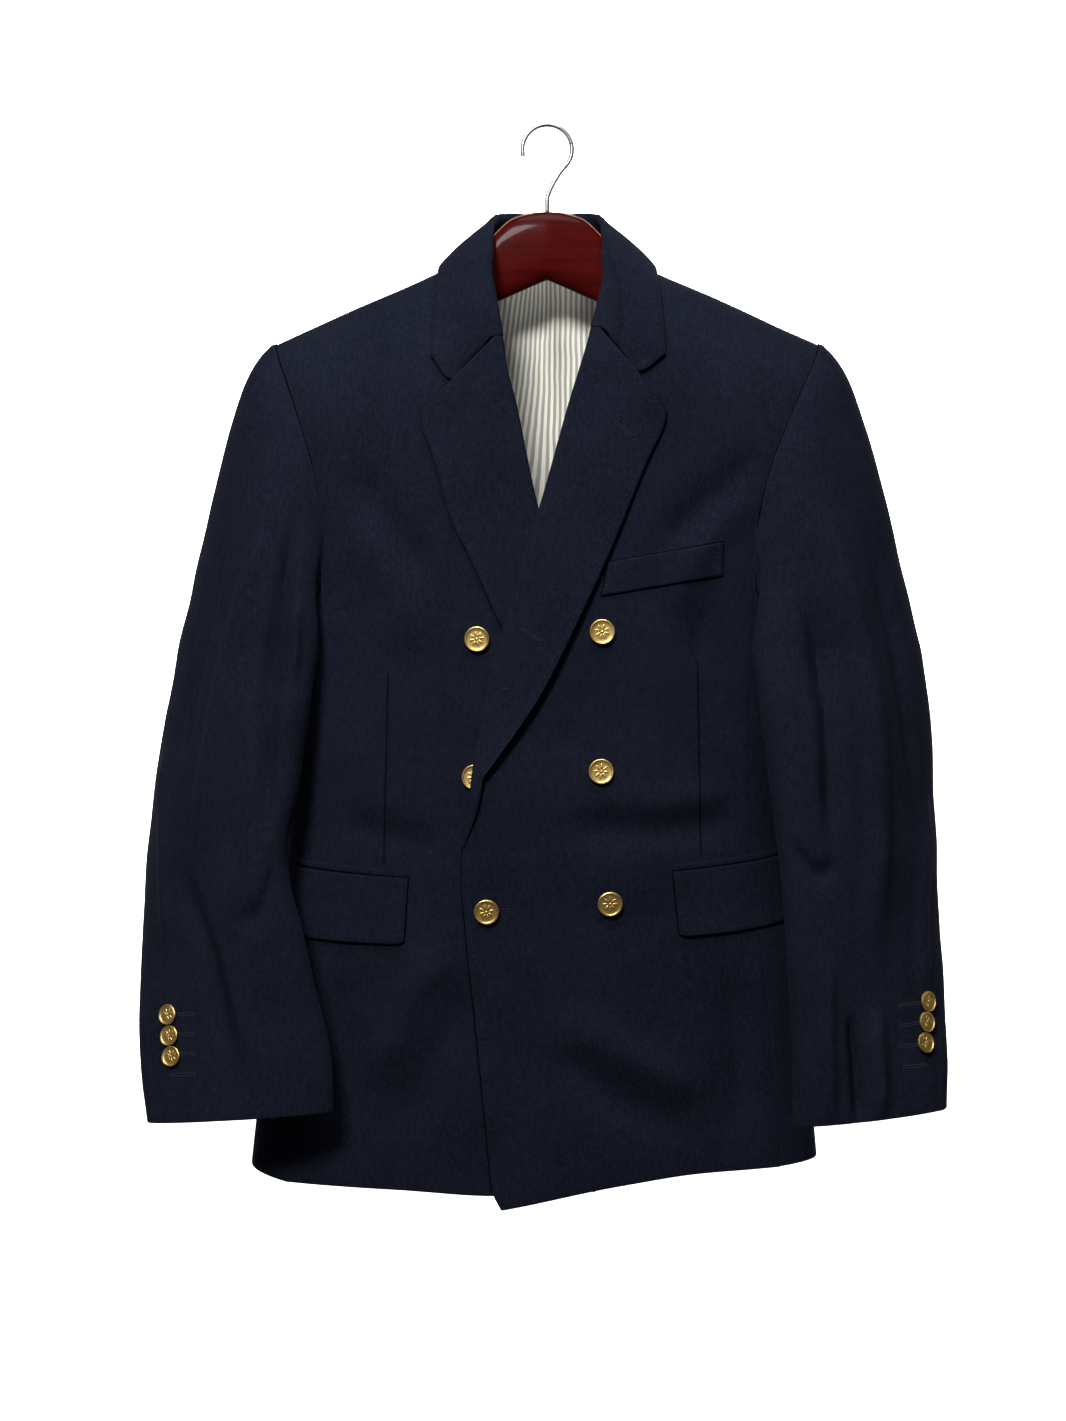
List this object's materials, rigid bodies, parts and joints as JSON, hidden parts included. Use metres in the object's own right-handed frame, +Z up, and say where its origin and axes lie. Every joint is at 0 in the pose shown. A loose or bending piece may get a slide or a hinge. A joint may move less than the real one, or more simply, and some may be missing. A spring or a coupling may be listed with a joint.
{
  "type": "double-breasted blazer on a wooden hanger",
  "caption": "Tailored double-breasted jacket with notch lapels, flap pockets and metal buttons, fastened left over right, hanging on a contoured wooden suit hanger",
  "frame": {"origin": "highest point inside the hanger's hook, where a rail carries it", "axes": "+X is the wearer's left, +Y is toward the jacket's back, +Z is up"},
  "size_m": [0.6684, 0.1607, 0.9058],
  "materials": {
    "wool": "matte dark navy wool, slightly fuzzy plain weave",
    "wool_collar": "matte dark navy wool with a pick-stitched edge",
    "wool_pockets": "matte dark navy wool with a pick-stitched edge",
    "lining": "smooth cream lining with soft grey-blue stripes",
    "button_metal": "satin gold",
    "hanger_wood": "glossy mahogany lacquer",
    "hook_steel": "polished steel wire"
  },
  "bodies": {
    "root": {"back_left": "wool", "back_right": "wool", "button_cuff_left_1": "button_metal", "button_cuff_left_2": "button_metal", "button_cuff_left_3": "button_metal", "button_cuff_right_1": "button_metal", "button_cuff_right_2": "button_metal", "button_cuff_right_3": "button_metal", "button_front_1": "button_metal", "button_front_2": "button_metal", "button_front_3": "button_metal", "button_front_4": "button_metal", "button_front_5": "button_metal", "button_front_6": "button_metal", "chest_welt": "wool_pockets", "collar": "wool_collar", "front_left": "wool", "front_right": "wool", "hanger_hook": "hook_steel", "hanger_wood": "hanger_wood", "lapel_left": "wool_collar", "lapel_right": "wool_collar", "lining_left": "lining", "lining_right": "lining", "pocket_flap_left": "wool_pockets", "pocket_flap_right": "wool_pockets", "pocket_jet_left": "wool_pockets", "pocket_jet_right": "wool_pockets", "side_left": "wool", "side_right": "wool", "sleeve_top_left": "wool", "sleeve_top_right": "wool", "sleeve_under_left": "wool", "sleeve_under_right": "wool"}
  },
  "joints": []
}
